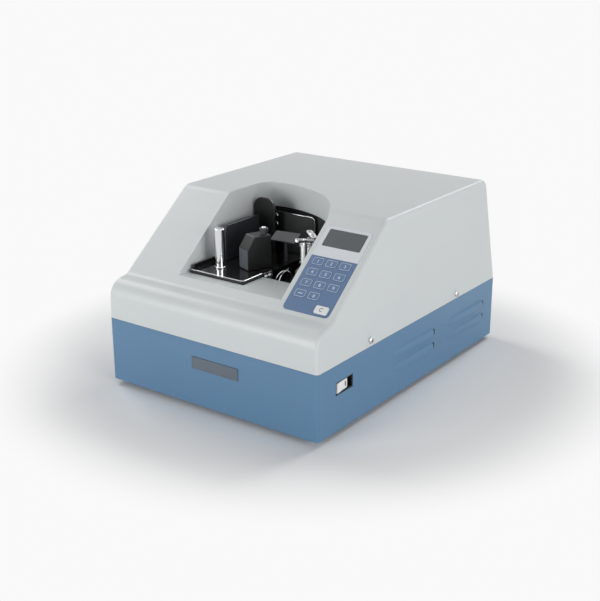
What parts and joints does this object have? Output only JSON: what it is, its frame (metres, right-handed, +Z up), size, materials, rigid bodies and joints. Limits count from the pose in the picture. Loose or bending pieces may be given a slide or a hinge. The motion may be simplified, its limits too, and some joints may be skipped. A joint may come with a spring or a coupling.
{
  "type": "banknote counter",
  "caption": "Tabletop vacuum banknote counter: grey wedge cover on a blue base, open note bay with a spindle head, keypad console and rear mains inlet.",
  "frame": {"origin": "on the ground under the middle of the base, between the four feet", "axes": "+Z up, -Y towards the front edge with the nameplate, +X towards the console and the power switch"},
  "size_m": [0.298, 0.3919, 0.2128],
  "materials": {
    "cover_grey": "light grey satin paint on sheet steel",
    "base_blue": "blue satin paint on sheet steel",
    "dark_grey_plastic": "dark grey moulded plastic",
    "chrome": "polished chrome plate",
    "rubber": "black rubber",
    "label_film": "printed polyester film",
    "smoked_window": "smoked grey acrylic",
    "key_film": "blue keytop film",
    "white_plastic": "white moulded plastic",
    "board_green": "green circuit board",
    "black_plastic": "black moulded plastic",
    "black_sheet": "black painted sheet steel",
    "black_gloss": "black polished acrylic",
    "light_plastic": "light grey moulded plastic",
    "steel": "plain machined steel",
    "aluminium": "machined aluminium"
  },
  "bodies": {
    "machine": {"back_plate": "black_sheet", "base_case": "base_blue", "bearing_housing": "aluminium", "control_board": "board_green", "corner_plate": "dark_grey_plastic", "cover_screw_1": "chrome", "cover_screw_2": "chrome", "cover_screw_3": "chrome", "cover_screw_4": "chrome", "display_window": "smoked_window", "drive_belt": "rubber", "drive_motor": "steel", "guard_wire": "chrome", "guide_plate": "dark_grey_plastic", "guide_post": "chrome", "inlet_socket": "black_plastic", "label_overlay": "label_film", "main_board": "board_green", "mains_transformer": "steel", "mechanism_frame": "black_sheet", "nameplate": "dark_grey_plastic", "note_blade": "light_plastic", "press_pivot": "chrome", "press_spring": "steel", "rotary_union": "black_plastic", "rubber_foot_1": "rubber", "rubber_foot_2": "rubber", "rubber_foot_3": "rubber", "rubber_foot_4": "rubber", "switch_body": "black_plastic", "top_cover": "cover_grey", "tray": "black_gloss", "tray_bracket": "chrome", "tray_trim": "chrome", "vacuum_hose": "rubber", "vacuum_pump": "aluminium", "well_shroud": "black_sheet"},
    "head": {"turret_disc": "aluminium", "head_shaft": "steel", "head_pulley": "aluminium"},
    "press": {"press_block": "black_plastic", "press_knob": "dark_grey_plastic"},
    "rocker": {"power_rocker": "white_plastic"},
    "motor_rotor": {"motor_pulley": "steel"},
    "spindle_1_body": {"spindle_1": "chrome"},
    "spindle_2_body": {"spindle_2": "chrome"},
    "spindle_3_body": {"spindle_3": "chrome"},
    "spindle_4_body": {"spindle_4": "chrome"},
    "key_1_body": {"key_1": "key_film"},
    "key_2_body": {"key_2": "key_film"},
    "key_3_body": {"key_3": "key_film"},
    "key_4_body": {"key_4": "key_film"},
    "key_5_body": {"key_5": "key_film"},
    "key_6_body": {"key_6": "key_film"},
    "key_7_body": {"key_7": "key_film"},
    "key_8_body": {"key_8": "key_film"},
    "key_9_body": {"key_9": "key_film"},
    "key_mode_body": {"key_mode": "key_film"},
    "key_0_body": {"key_0": "key_film"},
    "key_clear_body": {"key_clear": "white_plastic"}
  },
  "joints": [
    {"name": "key_1_press", "type": "slide", "parent": "machine", "child": "key_1_body", "axis": [0, 0.6316, -0.7753], "range_m": [0, 0.0005], "stiffness_N_per_m": 400, "springref_m": -0.0005},
    {"name": "key_2_press", "type": "slide", "parent": "machine", "child": "key_2_body", "axis": [0, 0.6316, -0.7753], "range_m": [0, 0.0005], "stiffness_N_per_m": 400, "springref_m": -0.0005},
    {"name": "key_3_press", "type": "slide", "parent": "machine", "child": "key_3_body", "axis": [0, 0.6316, -0.7753], "range_m": [0, 0.0005], "stiffness_N_per_m": 400, "springref_m": -0.0005},
    {"name": "key_4_press", "type": "slide", "parent": "machine", "child": "key_4_body", "axis": [0, 0.6316, -0.7753], "range_m": [0, 0.0005], "stiffness_N_per_m": 400, "springref_m": -0.0005},
    {"name": "key_5_press", "type": "slide", "parent": "machine", "child": "key_5_body", "axis": [0, 0.6316, -0.7753], "range_m": [0, 0.0005], "stiffness_N_per_m": 400, "springref_m": -0.0005},
    {"name": "key_6_press", "type": "slide", "parent": "machine", "child": "key_6_body", "axis": [0, 0.6316, -0.7753], "range_m": [0, 0.0005], "stiffness_N_per_m": 400, "springref_m": -0.0005},
    {"name": "key_7_press", "type": "slide", "parent": "machine", "child": "key_7_body", "axis": [0, 0.6316, -0.7753], "range_m": [0, 0.0005], "stiffness_N_per_m": 400, "springref_m": -0.0005},
    {"name": "key_8_press", "type": "slide", "parent": "machine", "child": "key_8_body", "axis": [0, 0.6316, -0.7753], "range_m": [0, 0.0005], "stiffness_N_per_m": 400, "springref_m": -0.0005},
    {"name": "key_9_press", "type": "slide", "parent": "machine", "child": "key_9_body", "axis": [0, 0.6316, -0.7753], "range_m": [0, 0.0005], "stiffness_N_per_m": 400, "springref_m": -0.0005},
    {"name": "key_mode_press", "type": "slide", "parent": "machine", "child": "key_mode_body", "axis": [0, 0.6316, -0.7753], "range_m": [0, 0.0005], "stiffness_N_per_m": 400, "springref_m": -0.0005},
    {"name": "key_0_press", "type": "slide", "parent": "machine", "child": "key_0_body", "axis": [0, 0.6316, -0.7753], "range_m": [0, 0.0005], "stiffness_N_per_m": 400, "springref_m": -0.0005},
    {"name": "key_clear_press", "type": "slide", "parent": "machine", "child": "key_clear_body", "axis": [0, 0.6316, -0.7753], "range_m": [0, 0.0005], "stiffness_N_per_m": 400, "springref_m": -0.0005},
    {"name": "rocker_tip", "type": "hinge", "parent": "machine", "child": "rocker", "pos_m": [0.143, -0.1472, 0.0545], "axis": [0, 0, 1], "range_deg": [-12, 0]},
    {"name": "head_spin", "type": "hinge", "parent": "machine", "child": "head", "pos_m": [0.051, -0.058, 0.135], "axis": [0, 0, 1], "continuous": true},
    {"name": "spindle_1_spin", "type": "hinge", "parent": "head", "child": "spindle_1_body", "pos_m": [0.04302, -0.07301, 0.15], "axis": [0, 0, 1], "continuous": true},
    {"name": "spindle_2_spin", "type": "hinge", "parent": "head", "child": "spindle_2_body", "pos_m": [0.06601, -0.06598, 0.15], "axis": [0, 0, 1], "continuous": true},
    {"name": "spindle_3_spin", "type": "hinge", "parent": "head", "child": "spindle_3_body", "pos_m": [0.05898, -0.04299, 0.15], "axis": [0, 0, 1], "continuous": true},
    {"name": "spindle_4_spin", "type": "hinge", "parent": "head", "child": "spindle_4_body", "pos_m": [0.03599, -0.05002, 0.15], "axis": [0, 0, 1], "continuous": true},
    {"name": "motor_spin", "type": "hinge", "parent": "machine", "child": "motor_rotor", "pos_m": [0.051, 0.025, 0.09], "axis": [0, 0, 1], "continuous": true},
    {"name": "press_swing", "type": "hinge", "parent": "machine", "child": "press", "pos_m": [-0.0074, -0.0818, 0.15], "axis": [0, 0, 1], "range_deg": [-12, 25], "stiffness_Nm_per_rad": 0.05}
  ],
  "couplings": [
    {"joint": "spindle_1_spin", "follows": "head_spin", "ratio": 1},
    {"joint": "spindle_2_spin", "follows": "head_spin", "ratio": 1},
    {"joint": "spindle_3_spin", "follows": "head_spin", "ratio": 1},
    {"joint": "spindle_4_spin", "follows": "head_spin", "ratio": 1},
    {"joint": "motor_spin", "follows": "head_spin", "ratio": 2.4444}
  ]
}
